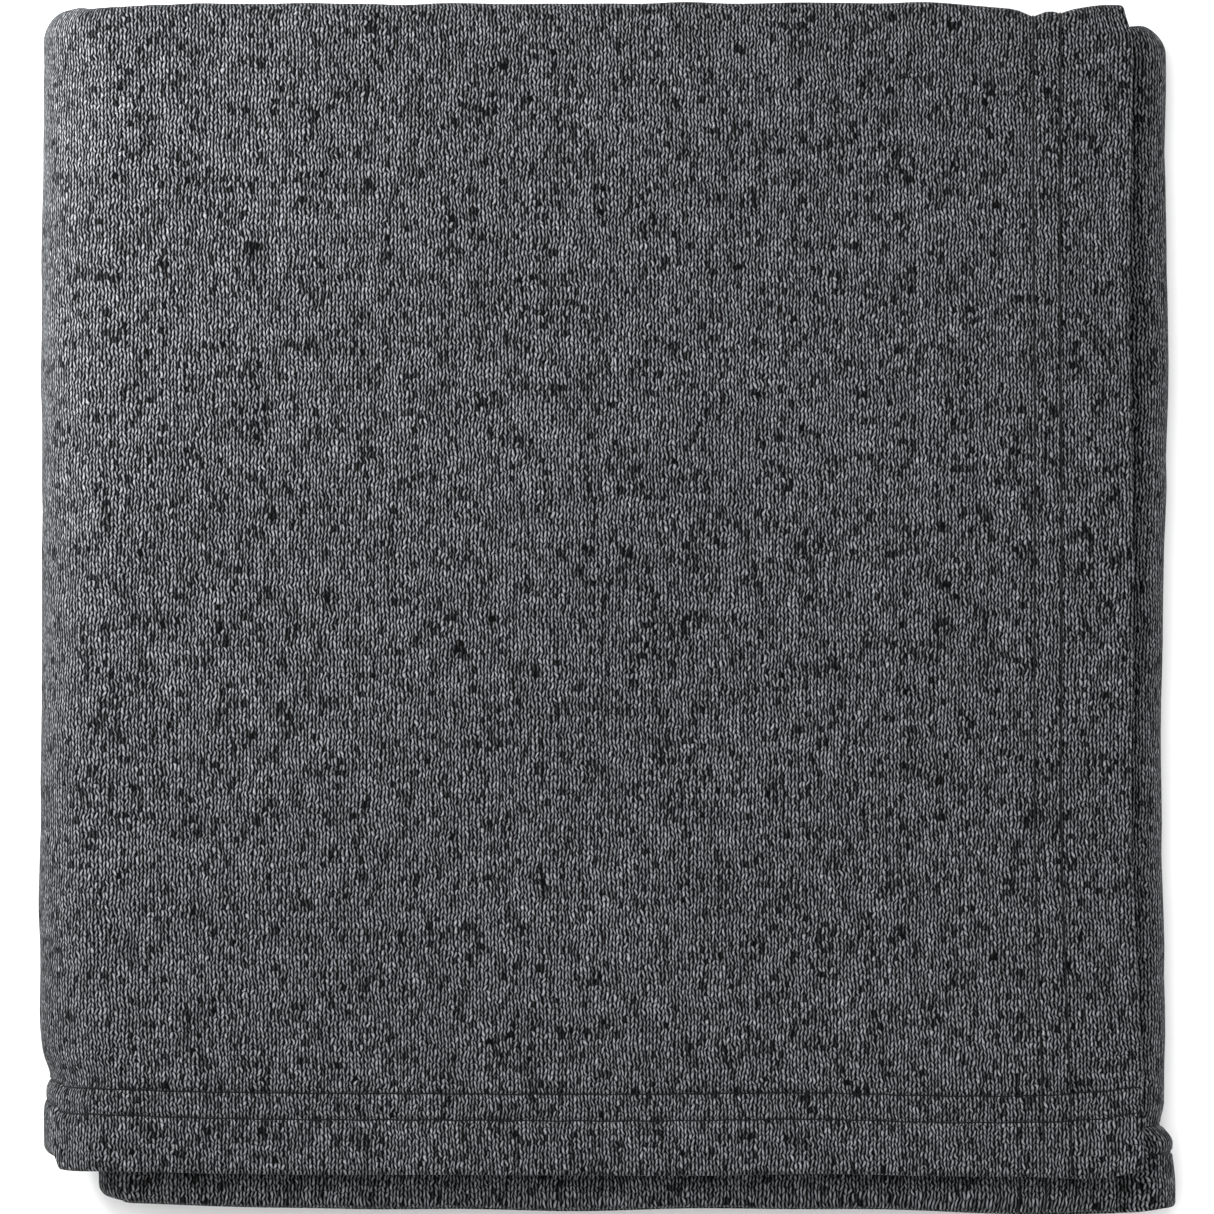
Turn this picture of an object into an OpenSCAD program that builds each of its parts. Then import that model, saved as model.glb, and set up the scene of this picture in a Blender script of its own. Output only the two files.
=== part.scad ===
// Throw blanket in sweater knit, folded to a pack of four leaves.
// Each leaf is four plies of the one cloth. The cloth is folded front to back first, so
// that its two end hems lie one on the other at the front of every leaf, and then twice
// from side to side. The back of the pack is +Y, its front, where the end hems lie, is -Y.
// Leaves, from the top: top, second, third, bottom. The outer fold on the left joins the
// top leaf to the bottom one, the inner fold joins the second to the third, and the right
// fold joins the third to the bottom one. The top and second leaves end in side hems.

/* [Folded size] */
// Length of a leaf from its back fold to its front hem edge
leaf_length = 346; // [220:1:600]
// Width from the outer fold to the free edge of the top leaf
top_leaf_width = 322.5; // [220:1:600]
// How far the right fold shows beyond the free edge of the top leaf
right_fold_overhang = 10; // [4:0.5:30]
// How far the free edge of the second leaf stays behind that of the top leaf
second_leaf_setback = 6; // [2:0.5:30]
// How far the inner leaves have slid forward from under the top leaf
inner_slide = 10; // [2:0.5:20]
// Room between the outer fold and the inner fold that it wraps
fold_slack = 4; // [0.5:0.5:10]
// How far the folds at the front stay behind the hem edge
front_fold_setback = 2.5; // [1:0.5:12]

/* [Cloth] */
// Thickness of the knit in the pack
cloth_t = 3; // [2:0.1:4.5]
// Air between one ply and the next
ply_gap = 0.2; // [0.1:0.05:0.5]
// Air between the two halves of the pack where it opens
opening_gap = 0.3; // [0.2:0.05:0.6]

/* [Hems] */
// Depth of the hem turned under at each end of the cloth
end_hem_depth = 26; // [16:0.5:45]
// Depth of the hem turned under along each side of the cloth
side_hem_depth = 30.5; // [16:0.5:45]
// Air between the two layers of a hem
hem_slit = 0.2; // [0.1:0.05:0.3]

/* [Stitching] */
// Distance between the two needle rows of a hem
needle_gauge = 8; // [4:0.1:10]
// Distance from the raw edge of a hem to its nearer needle row
row_margin = 1.6; // [1:0.1:3]
// Width of a needle row
needle_row_w = 0.9; // [0.4:0.1:1.4]
// Depth to which the needle thread sinks into the knit
needle_sink = 0.5; // [0.2:0.05:0.6]
// Thickness of the looper thread on the reverse of a hem
looper_t = 0.3; // [0.15:0.05:0.4]

/* [Care label] */
// Width of the blank care label
label_w = 30; // [15:1:50]
// Length of the care label from the hem
label_l = 45; // [20:1:80]
// Thickness of the care label
label_t = 0.4; // [0.2:0.1:0.8]
// Distance from the side hem to the care label
label_inset = 8; // [2:1:40]

/* [Hidden] */
$fn = 96;

// Colours
knit = [0.36, 0.37, 0.38];
knit_fold = [0.42, 0.43, 0.44];
knit_hem = [0.32, 0.33, 0.34];
thread = [0.09, 0.09, 0.10];
looper = [0.16, 0.16, 0.17];
label = [0.88, 0.87, 0.84];

// A leaf in section
pitch = cloth_t + ply_gap;
stack = 3 * pitch + cloth_t;
hem_front = -leaf_length;
hem_back = end_hem_depth - leaf_length;
front_fold_y = front_fold_setback - leaf_length + (pitch + cloth_t) / 2;
back_fold_y = -stack / 2;
row_reach = row_margin + needle_row_w / 2;

// The pack
pack_width = top_leaf_width + right_fold_overhang;
middle_z = 2 * stack + ply_gap + opening_gap / 2;
outer_fold_x = middle_z - pack_width / 2;
inner_fold_x = outer_fold_x + fold_slack;
right_fold_x = pack_width / 2 - stack - ply_gap / 2;
top_edge_x = top_leaf_width - pack_width / 2;
second_edge_x = top_edge_x - second_leaf_setback;
back_y = (leaf_length + inner_slide) / 2;
slide_angle = atan(inner_slide / (right_fold_x - outer_fold_x));
spare = 20;

// ---- Sections of a leaf: x is the height above the leaf's inner face, y runs from the
// ---- back fold at 0 to the hem edge at -leaf_length. Plies, from the inner face: 0 to 3.

// The face of the knit is outwards on plies 3 and 1, and inwards on plies 2 and 0.
function face_side(ply) = ply % 2 == 1 ? 1 : -1;
function ply_middle(ply) = ply * pitch + cloth_t / 2;

module ply_strip(ply, raise, width, front_y)
    translate([ply_middle(ply) + face_side(ply) * raise - width / 2, front_y])
        square([width, back_fold_y - front_y]);

module half_ring(radius, width, side)
    difference() {
        intersection() {
            circle(radius + width / 2);
            translate([-stack, side > 0 ? 0 : -2 * stack]) square(2 * stack);
        }
        circle(radius - width / 2);
    }

// The cloth's path through a leaf as a band of the given width, raised from the middle of
// the cloth towards its face.
module cloth_path(raise, width) {
    ply_strip(3, raise, width, hem_back);
    ply_strip(2, raise, width, hem_back);
    ply_strip(1, raise, width, front_fold_y);
    ply_strip(0, raise, width, front_fold_y);
    translate([stack / 2, back_fold_y]) {
        half_ring(1.5 * pitch + raise, width, 1);
        half_ring(0.5 * pitch - raise, width, 1);
    }
    translate([(pitch + cloth_t) / 2, front_fold_y])
        half_ring(0.5 * pitch + raise, width, -1);
}

module leaf_section() cloth_path(0, cloth_t);

// Rows are measured from the hem edge towards the raw edge.
module needle_rows_section(ply, depth)
    for (row = [0, 1])
        translate([
            ply_middle(ply) + face_side(ply) * (cloth_t - needle_sink) / 2 - needle_sink / 2,
            hem_front + depth - row_margin - row * needle_gauge - needle_row_w / 2
        ])
            square([needle_sink, needle_row_w]);

module looper_section(ply, depth)
    translate([
        ply_middle(ply) - face_side(ply) * (cloth_t - looper_t) / 2 - looper_t / 2,
        hem_front + depth - row_reach - needle_gauge
    ])
        square([looper_t, needle_gauge + row_reach]);

// A hem at the end of a ply: two layers, round at the hem edge, grooved for its threads.
module end_hem_section(ply)
    difference() {
        translate([ply_middle(ply), hem_front + cloth_t / 2]) {
            circle(cloth_t / 2);
            translate([-cloth_t / 2, 0]) square([cloth_t, end_hem_depth - cloth_t / 2]);
        }
        translate([ply_middle(ply) - hem_slit / 2, hem_front + cloth_t / 2])
            square([hem_slit, end_hem_depth]);
        needle_rows_section(ply, end_hem_depth);
        looper_section(ply, end_hem_depth);
    }

// ---- Places of a section in the pack

module rising_run(from_x, to_x, z)
    translate([to_x, 0, z]) rotate([0, -90, 0]) linear_extrude(to_x - from_x) children();

module sinking_run(from_x, to_x, z)
    translate([from_x, 0, z]) rotate([0, 90, 0]) linear_extrude(to_x - from_x) children();

// Turns a section about a line along Y: 0 is +X, 90 is down, 180 is -X, 270 is up.
module turned(start, sweep)
    rotate([-90, 0, 0]) rotate([0, 0, start]) rotate_extrude(angle = sweep) children();

module top_place(from_x, to_x)
    translate([0, back_y, 0])
        rising_run(from_x, to_x, middle_z + opening_gap / 2 + stack + ply_gap) children();

module second_place(from_x, to_x)
    translate([0, back_y - inner_slide, 0])
        sinking_run(from_x, to_x, middle_z + opening_gap / 2 + stack) children();

module third_place()
    translate([0, back_y - inner_slide, 0])
        rising_run(inner_fold_x, right_fold_x, stack + ply_gap) children();

// The bottom leaf runs aslant, from the outer fold to the right fold that slid forward.
module bottom_place()
    intersection() {
        translate([outer_fold_x, -leaf_length, -spare])
            cube([right_fold_x - outer_fold_x, 2 * leaf_length, stack + 2 * spare]);
        translate([outer_fold_x, back_y, 0])
            rotate([0, 0, -slide_angle])
                sinking_run(-spare, right_fold_x - outer_fold_x + spare, stack) children();
    }

module right_fold_place()
    translate([right_fold_x, back_y - inner_slide, stack + ply_gap / 2])
        turned(-90, 180) translate([ply_gap / 2, 0]) children();

module outer_fold_place()
    translate([outer_fold_x, back_y, middle_z])
        turned(90, 180) translate([opening_gap / 2 + stack + ply_gap, 0]) children();

module inner_fold_place()
    translate([inner_fold_x, back_y - inner_slide, middle_z])
        turned(90, 180) translate([opening_gap / 2 + stack, 0]) mirror([1, 0]) children();

module lower_half_place() {
    third_place() children();
    right_fold_place() children();
    bottom_place() children();
}

// A section along one stretch of an end hem
module hem_place(stretch) {
    if (stretch == "top_leaf") top_place(outer_fold_x, top_edge_x) children();
    if (stretch == "second_leaf") second_place(inner_fold_x, second_edge_x) children();
    if (stretch == "lower_half") lower_half_place() children();
    if (stretch == "outer_fold") outer_fold_place() children();
    if (stretch == "inner_fold") inner_fold_place() children();
}

// ---- The cloth

module top_leaf()
    color(knit) top_place(outer_fold_x, top_edge_x - side_hem_depth) leaf_section();

module second_leaf()
    color(knit) difference() {
        second_place(inner_fold_x, second_edge_x - side_hem_depth) leaf_section();
        label_body();
    }

module third_leaf() color(knit) third_place() leaf_section();

module bottom_leaf() color(knit) bottom_place() leaf_section();

module outer_left_fold() color(knit_fold) outer_fold_place() leaf_section();

module inner_left_fold() color(knit_fold) inner_fold_place() leaf_section();

module right_fold() color(knit_fold) right_fold_place() leaf_section();

// ---- Side hems: the last stretch of a leaf's path, doubled and grooved for its threads

// Draws the children, a path across the hem, over the hem's needle rows.
module side_needle_rows(edge_x)
    for (row = [0, 1])
        let (x = edge_x - side_hem_depth + row_margin + row * needle_gauge - needle_row_w / 2)
            translate([x, 0, 0]) children();

module needle_path() cloth_path((cloth_t - needle_sink) / 2, needle_sink);

module looper_path() cloth_path((looper_t - cloth_t) / 2, looper_t);

module top_side_needle_threads_body()
    side_needle_rows(top_edge_x) top_place(0, needle_row_w) needle_path();

module second_side_needle_threads_body()
    side_needle_rows(second_edge_x) second_place(0, needle_row_w) needle_path();

module top_side_looper_body()
    top_place(top_edge_x - side_hem_depth,
              top_edge_x - side_hem_depth + needle_gauge + row_reach) looper_path();

module second_side_looper_body()
    second_place(second_edge_x - side_hem_depth,
                 second_edge_x - side_hem_depth + needle_gauge + row_reach) looper_path();

module top_side_hem()
    color(knit_hem) difference() {
        top_place(top_edge_x - side_hem_depth, top_edge_x) leaf_section();
        top_place(top_edge_x - side_hem_depth, top_edge_x - cloth_t / 2)
            cloth_path(0, hem_slit);
        top_side_needle_threads_body();
        top_side_looper_body();
    }

module second_side_hem()
    color(knit_hem) difference() {
        second_place(second_edge_x - side_hem_depth, second_edge_x) leaf_section();
        second_place(second_edge_x - side_hem_depth, second_edge_x - cloth_t / 2)
            cloth_path(0, hem_slit);
        second_side_needle_threads_body();
        second_side_looper_body();
    }

module top_side_needle_threads() color(thread) top_side_needle_threads_body();

module second_side_needle_threads() color(thread) second_side_needle_threads_body();

module top_side_looper_thread() color(looper) top_side_looper_body();

module second_side_looper_thread() color(looper) second_side_looper_body();

// ---- End hems and their threads. The upper end hem is on ply 3, the under one on ply 2.

module end_hem(ply, stretch)
    color(knit_hem) hem_place(stretch) end_hem_section(ply);

module end_needle_threads(ply, stretch)
    color(thread) hem_place(stretch) needle_rows_section(ply, end_hem_depth);

module end_looper_thread(ply, stretch)
    color(looper) hem_place(stretch) looper_section(ply, end_hem_depth);

// ---- The care label, sewn in at the under hem and lying between plies 3 and 2

module label_body()
    let (far_x = second_edge_x - side_hem_depth - label_inset)
        second_place(far_x - label_w, far_x)
            translate([2 * pitch + cloth_t - label_t, hem_back]) square([label_t, label_l]);

module care_label() color(label) label_body();

top_leaf();
second_leaf();
third_leaf();
bottom_leaf();
outer_left_fold();
inner_left_fold();
right_fold();
top_side_hem();
second_side_hem();
top_side_needle_threads();  // top_side_hem_needle_threads
second_side_needle_threads();  // second_side_hem_needle_threads
top_side_looper_thread();  // top_side_hem_looper_thread
second_side_looper_thread();  // second_side_hem_looper_thread
care_label();
for (stretch = ["top_leaf", "second_leaf", "lower_half", "outer_fold", "inner_fold"])
    for (hem = [["upper", 3], ["under", 2]]) {
        end_hem(hem[1], stretch);
        end_needle_threads(hem[1], stretch);
        end_looper_thread(hem[1], stretch);
    }
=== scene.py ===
"""A folded throw blanket in sweater knit, seen from straight above on a pale floor.

The throw is one panel of knit. Here it is modelled stretch by stretch along the way it is folded: every stretch is a
thick sheet that runs through all four plies of a leaf and round the folds at its back and front. Lengths are in
millimetres until a mesh is made.
"""

import math

import bpy
import numpy as np
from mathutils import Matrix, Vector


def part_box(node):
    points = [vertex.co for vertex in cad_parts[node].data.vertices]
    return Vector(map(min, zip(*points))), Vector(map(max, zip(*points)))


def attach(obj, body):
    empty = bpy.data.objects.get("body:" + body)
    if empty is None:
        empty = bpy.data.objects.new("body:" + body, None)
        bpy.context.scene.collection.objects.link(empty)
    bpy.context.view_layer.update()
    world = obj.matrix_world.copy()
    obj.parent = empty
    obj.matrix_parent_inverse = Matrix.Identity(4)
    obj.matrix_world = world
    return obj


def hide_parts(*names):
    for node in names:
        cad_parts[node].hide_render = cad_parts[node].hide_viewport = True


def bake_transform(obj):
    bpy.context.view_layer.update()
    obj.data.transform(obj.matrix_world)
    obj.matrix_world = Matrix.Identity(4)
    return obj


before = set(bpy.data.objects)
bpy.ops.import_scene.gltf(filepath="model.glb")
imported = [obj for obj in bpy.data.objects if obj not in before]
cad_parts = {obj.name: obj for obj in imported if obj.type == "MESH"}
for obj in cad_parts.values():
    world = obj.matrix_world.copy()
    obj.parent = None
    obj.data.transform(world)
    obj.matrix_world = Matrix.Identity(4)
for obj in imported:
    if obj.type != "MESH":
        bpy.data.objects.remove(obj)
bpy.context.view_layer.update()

scene = bpy.context.scene
scene.view_settings.view_transform = "Standard"
scene.view_settings.look = "None"

MM = 0.001


def corners(node):
    low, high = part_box(node)
    return np.array(low) / MM, np.array(high) / MM


# ---------------------------------------------------------------- sizes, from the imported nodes

TOP_LOW, TOP_HIGH = corners("top_leaf")
SECOND_LOW, SECOND_HIGH = corners("second_leaf")
THIRD_LOW, THIRD_HIGH = corners("third_leaf")
BOTTOM_LOW, BOTTOM_HIGH = corners("bottom_leaf")
TOP_EDGE = corners("top_side_hem")[1][0]
SECOND_EDGE = corners("second_side_hem")[1][0]

CLOTH = 3.0
PITCH = (TOP_HIGH[2] - TOP_LOW[2] - CLOTH) / 3
STACK = TOP_HIGH[2] - TOP_LOW[2]
OUTER_X = TOP_LOW[0]
INNER_X = SECOND_LOW[0]
RIGHT_X = BOTTOM_HIGH[0]
BACK = TOP_HIGH[1]
SLIDE = BACK - SECOND_HIGH[1]
LEAF = 346.0
MIDDLE_Z = (SECOND_HIGH[2] + THIRD_LOW[2]) / 2
RIGHT_Z = (THIRD_LOW[2] + BOTTOM_HIGH[2]) / 2
TOP_Z, SECOND_Z, THIRD_Z, BOTTOM_Z = TOP_LOW[2], SECOND_HIGH[2], THIRD_LOW[2], BOTTOM_HIGH[2]
RIGHT_R = THIRD_Z - RIGHT_Z
OUTER_R = TOP_Z - MIDDLE_Z
INNER_R = SECOND_Z - MIDDLE_Z

# The hems' depths, and their needle rows, which lie this far inside a hem's raw edge.
HEM = 26.0
SIDE_HEM = 30.5
ROW_INSETS = (9.6, 1.6)
NEEDLE_ROWS = tuple(HEM - inset for inset in ROW_INSETS)
SIDE_ROWS = tuple(SIDE_HEM - inset for inset in ROW_INSETS)

# The knit's stitches; the sewing threads' stitches, room at a side hem's ends and radii; and the blank label.
WALE = 2.154
COURSE = 1.797
STITCH = 3.1
EDGE_ROOM = 1.2
NEEDLE_THREAD_R = 0.26
LOOPER_THREAD_R = 0.17
LABEL_WIDTH, LABEL_LENGTH, LABEL_THICK = 30.0, 45.0, 0.3

# How far the inner fold's pieces reach on to the leaves beside it, the steps of a mesh, and the depth along a hemmed
# edge in which the mesh follows the hem instead.
TAB = 6.0
FINE, COARSE = 2.6, 9.0
HEM_MESH = 33

# ---------------------------------------------------------------- the way through a leaf, from one end hem to the other

FRONT_ROOM = 0.5
FRONT_Y = FRONT_ROOM - LEAF + (PITCH + CLOTH) / 2
BACK_Y = -STACK / 2
PLY_3 = LEAF + BACK_Y
BACK_FOLD = math.pi * 1.5 * PITCH
PLY_0 = BACK_Y - FRONT_Y
SMALL_FOLD = math.pi * 0.5 * PITCH
STOPS = np.cumsum([0, PLY_3, BACK_FOLD, PLY_0, SMALL_FOLD, PLY_0, SMALL_FOLD, PLY_3])
LENGTH = STOPS[-1]


def leaf_way(s):
    """The middle of the cloth at path lengths s: height n over the leaf's inner face, place y behind its back, and the
    direction in which the face of the knit looks."""
    s = np.asarray(s, float)
    n, y, fn, fy = (np.zeros_like(s) for _ in range(4))
    b, c, d, e, f, g = STOPS[1:-1]
    low, half = CLOTH / 2, PITCH / 2

    def straight(m, height, at, face):
        n[m], y[m], fn[m], fy[m] = height, at, face, 0

    def fold(m, centre_n, centre_y, radius, turn, back, face):
        """turn runs from 0 to pi; back is 1 for a fold at the back; face is 1 where the face looks outwards."""
        rise, out = -np.cos(turn), np.sin(turn) * back
        n[m], y[m] = centre_n + radius * rise, centre_y + radius * out
        fn[m], fy[m] = face * rise, face * out

    m = s < b
    straight(m, 3 * PITCH + low, -LEAF + s[m], 1)
    m = (s >= b) & (s < c)
    fold(m, 1.5 * PITCH + low, BACK_Y, 1.5 * PITCH, math.pi * (1 - (s[m] - b) / BACK_FOLD), 1, 1)
    m = (s >= c) & (s < d)
    straight(m, low, BACK_Y - (s[m] - c), -1)
    m = (s >= d) & (s < e)
    fold(m, half + low, FRONT_Y, half, math.pi * (s[m] - d) / SMALL_FOLD, -1, 1)
    m = (s >= e) & (s < f)
    straight(m, PITCH + low, FRONT_Y + (s[m] - e), 1)
    m = (s >= f) & (s < g)
    fold(m, 1.5 * PITCH + low, BACK_Y, half, math.pi * (s[m] - f) / SMALL_FOLD, 1, -1)
    m = s >= g
    straight(m, 2 * PITCH + low, BACK_Y - (s[m] - g), -1)
    return n, y, fn, fy


def face_way(s):
    """Path lengths along the face of the knit, which is stretched round a fold that it looks out from."""
    low, half = CLOTH / 2, PITCH / 2
    rates = np.array([1, 1 + low / (1.5 * PITCH), 1, 1 + low / half, 1, 1 - low / half, 1])
    return np.interp(s, STOPS, np.concatenate([[0], np.cumsum(np.diff(STOPS) * rates)]))


def steps(start, end, step):
    """Even places from start to end, about a step apart."""
    return list(np.linspace(start, end, max(2, int(round((end - start) / step)) + 1)))


def hem_steps():
    """Distances from a hem's edge at which its shape changes."""
    rows = [row + off for row in NEEDLE_ROWS for off in (-3, -1.8, -1.1, -0.6, -0.25, 0.25, 0.6, 1.1, 1.8, 3)]
    return [0, 0.05, 0.2, 0.45, 0.8, 1.15, 1.5, 2.2, 3.5, 5.5, 8, 10.5, 20.4, 26.6, 28.5, 31] + rows


def way_samples(start, end, steps_by_ply):
    """Path lengths between two stops; steps_by_ply holds a step for plies 3, 0, 1 and 2."""
    a, b, c, d, e, f, g, h = STOPS
    found = hem_steps() + [LENGTH - x for x in hem_steps()]
    found += steps(a + HEM_MESH, b, steps_by_ply[0]) + steps(c, d, steps_by_ply[1])
    found += steps(e, f, steps_by_ply[2]) + steps(g, h - HEM_MESH, steps_by_ply[3])
    found += steps(b, c, 0.8) + steps(d, e, 0.5) + steps(f, g, 1.0)
    for stop in (c, d, e, f):
        found += [stop - 1.5, stop - 4, stop + 1.5, stop + 4]
    found = np.array(sorted(x for x in found + [start, end] if start - 1e-9 <= x <= end + 1e-9))
    return found[np.append(True, np.diff(found) > 0.04)]


# ---------------------------------------------------------------- the way across the pack, as stations

def station(x, z, dx, dz, shift, across, edge=99.0):
    """A place across the pack: where n is 0, the direction of n, the slide to the front, the way across the knit so
    far, and the distance to the free edge."""
    return (x, z, dx, dz, shift, across, edge)


def edge_steps():
    """Distances from a free side edge at which the cloth's shape changes."""
    rows = [row + off for row in SIDE_ROWS for off in (-2.2, -1.1, -0.5, 0, 0.5, 1.1, 2.2)]
    return [0, 0.05, 0.2, 0.45, 0.8, 1.15, 1.5, 2.2, 3.5, 5.5, 8, 11, 14, 17, 25, 31.2] + rows


def top_stations(step):
    """The top leaf, from the outer fold to its free edge."""
    xs = steps(OUTER_X, TOP_EDGE - HEM_MESH, step) + [TOP_EDGE - e for e in edge_steps()]
    return [station(x, TOP_Z, 0, 1, 0, x - OUTER_X, TOP_EDGE - x) for x in sorted(xs)]


def second_stations(step):
    """The second leaf, from the inner fold's tab to its free edge."""
    xs = steps(INNER_X + TAB, SECOND_EDGE - HEM_MESH, step) + [SECOND_EDGE - e for e in edge_steps()]
    return [station(x, SECOND_Z, 0, -1, -SLIDE, x - INNER_X, SECOND_EDGE - x) for x in sorted(xs)]


def outer_stations(start, end, count):
    """Part of the outer fold, from 0 at the bottom to 180 at the top."""
    made = []
    for turn in np.radians(np.linspace(start, end, count)):
        dx, dz = -math.sin(turn), -math.cos(turn)
        across = (turn - math.pi) * (OUTER_R + STACK - CLOTH / 2)
        made.append(station(OUTER_X + OUTER_R * dx, MIDDLE_Z + OUTER_R * dz, dx, dz, 0, across))
    return made


def inner_stations(count):
    """The inner fold with a little of the third and second leaves on either side of it."""
    start = -math.pi * (INNER_R - CLOTH)
    tabs = [TAB * quarter / 4 for quarter in (1, 2, 3, 4)]
    made = [station(INNER_X + t, THIRD_Z, 0, 1, -SLIDE, start - t) for t in reversed(tabs)]
    for turn in np.linspace(0, math.pi, count):
        dx, dz = -math.sin(turn), -math.cos(turn)
        across = (turn - math.pi) * (INNER_R - CLOTH)
        made.append(station(INNER_X + INNER_R * dx, MIDDLE_Z + INNER_R * dz, -dx, -dz, -SLIDE, across))
    return made + [station(INNER_X + t, SECOND_Z, 0, -1, -SLIDE, t) for t in tabs]


def right_stations(count):
    """The right fold, from the third leaf to the bottom leaf."""
    made = []
    for turn in np.linspace(0, math.pi, count):
        dx, dz = math.sin(turn), math.cos(turn)
        across = RIGHT_X - INNER_X + turn * (RIGHT_R + STACK - CLOTH / 2)
        made.append(station(RIGHT_X + RIGHT_R * dx, RIGHT_Z + RIGHT_R * dz, dx, dz, -SLIDE, across))
    return made


def third_stations(step):
    """The third leaf, from the inner fold's tab to the right fold."""
    return [station(x, THIRD_Z, 0, 1, -SLIDE, x - INNER_X) for x in steps(INNER_X + TAB, RIGHT_X, step)]


def bottom_stations(step):
    """The bottom leaf, from the right fold back to the outer fold. Its slide dies away along it."""
    far = RIGHT_X - INNER_X + math.pi * (RIGHT_R + STACK - CLOTH / 2)
    return [
        station(x, BOTTOM_Z, 0, -1, -SLIDE * (x - OUTER_X) / (RIGHT_X - OUTER_X), far + RIGHT_X - x)
        for x in reversed(steps(OUTER_X, RIGHT_X, step))
    ]


def joined(*runs):
    """Runs of stations one after the other, each starting where the last ended."""
    out = []
    for run in runs:
        out += run if not out else run[1:]
    return np.array(out)


# ---------------------------------------------------------------- how the soft pack departs from the ideal one

# The places, widths and amounts below are in millimetres and given one by one, like the softness they stand for.

def ease(x, start, end):
    """A smooth rise from 0 at start to 1 at end."""
    t = np.clip((x - start) / (end - start), 0, 1)
    return t * t * (3 - 2 * t)


def bump(x, middle, width):
    """A smooth hump of height 1."""
    return np.exp(-(((x - middle) / width) ** 2))


def ripple(x, y, seed, size):
    """Soft unevenness, about -1 to 1, with bumps about size wide. With y 0 it runs along a line."""
    rng = np.random.default_rng(seed)
    total = np.zeros(np.broadcast(x, y).shape)
    for _ in range(7):
        angle, phase = rng.uniform(0, 2 * math.pi, 2)
        turn = 2 * math.pi / (size * rng.uniform(1.5, 3.4))
        total += np.sin(turn * (x * math.cos(angle) + y * math.sin(angle)) + phase)
    return total / 3.2


def upper_half(z):
    return ease(z, MIDDLE_Z - 2, MIDDLE_Z + 2)


def on_top_leaf(z):
    return ease(z, TOP_Z - 1.5, TOP_Z + 1)


def at_back(y):
    return ease(y, 140, BACK - 2)


def at_front(y):
    return ease(-y, 120, 165)


def outer_fold_moves(x, y, z):
    """The outer fold is pulled in by the end hem's needle rows, uneven along its length and rounded off at its ends."""
    left = ease(-x, -OUTER_X + 1, -OUTER_X + 21)
    front_y = BACK - LEAF
    dx = left * (
        2.1 * bump(y, front_y + NEEDLE_ROWS[1] + 2.2, 6.0)
        + 0.5 * bump(y, front_y + NEEDLE_ROWS[0] + 1.0, 3.2)
        + 0.5 * ripple(y, 0, 3, 55)
        + 0.5 * bump(y, 165, 18) - 0.9 * bump(y, -22, 45) + 0.6
    )
    on_top = on_top_leaf(z)
    corner = np.clip((-x - 150) / 16.5, 0, 1.03)
    front = 3.2 * corner ** 5 + 1.3 * (1 - upper_half(z)) * ease(-x, 138, 150)
    front += on_top * (0.4 + 0.9 * ease(-x, 110, 150)) + (1 - on_top) * 1.3 * ease(-x, 149, 157)
    ring = np.clip((OUTER_X - x) / (OUTER_R + STACK), 0, 1)
    back = 1.6 * ease(-x, 118, 160) + 4.2 * ring ** 4
    return dx, front * at_front(y) - back * at_back(y), 0


def top_leaf_moves(x, y, z):
    """The top leaf lies a little askew, its edges wave and its free edge droops."""
    # More of the right fold shows at the back than at the front.
    dx = ease(x, 20, TOP_EDGE) * (1.5 - 2.5 * ease(y, -175, -40) - 0.8 * ease(y, -40, 170))
    dx -= ease(x, 140, TOP_EDGE) * 2.4 * ease(y, 166, BACK)
    dx += ease(x, 120, TOP_EDGE) * 0.5 * ripple(y, 0, 11, 45)

    # The back dips where the side hem's needle rows cross it, and the front edge waves.
    far, near = TOP_EDGE - SIDE_ROWS[1], TOP_EDGE - SIDE_ROWS[0]
    dips = 1.8 * bump(x, far, 3.8) + 0.7 * bump(x, near, 2.8)
    dips += 1.4 * ease(x, 100, far - 4) * (1 - ease(x, near, near + 15))
    wave = 0.9 * bump(x, -110, 60) + 0.4 * bump(x, 60, 90) - 0.5 * bump(x, 137, 10)
    wave += 1.7 * ease(x, 144, TOP_EDGE) + 0.25 * ripple(x, 0, 7, 30)
    dy = at_front(y) * wave - at_back(y) * (dips + 0.8)

    # The plies under the hem lie a little further back, and the needle rows aren't ruled lines.
    cover_low = TOP_HIGH[2] - CLOTH
    dy += (1 - ease(z, cover_low - 1.2, cover_low)) * at_front(y) * ease(x, -140, -120) * 2.2
    rows = ease(-y, 128, 137) * (1 - ease(-y, 150, 160))
    dy += rows * (
        0.5 * ripple(x, 0, 23, 60) + 1.5 * ease(x, 120, 150)
        - 0.9 * bump(x, 100, 40) + 0.8 * ease(-x, 120, 165)
    )
    dz = -ease(x, TOP_EDGE - 22, TOP_EDGE + 2) * 2.2 * (z - TOP_Z + 6) / (STACK + 6)
    on_top = on_top_leaf(z)
    return on_top * dx, on_top * dy, on_top * dz


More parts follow.
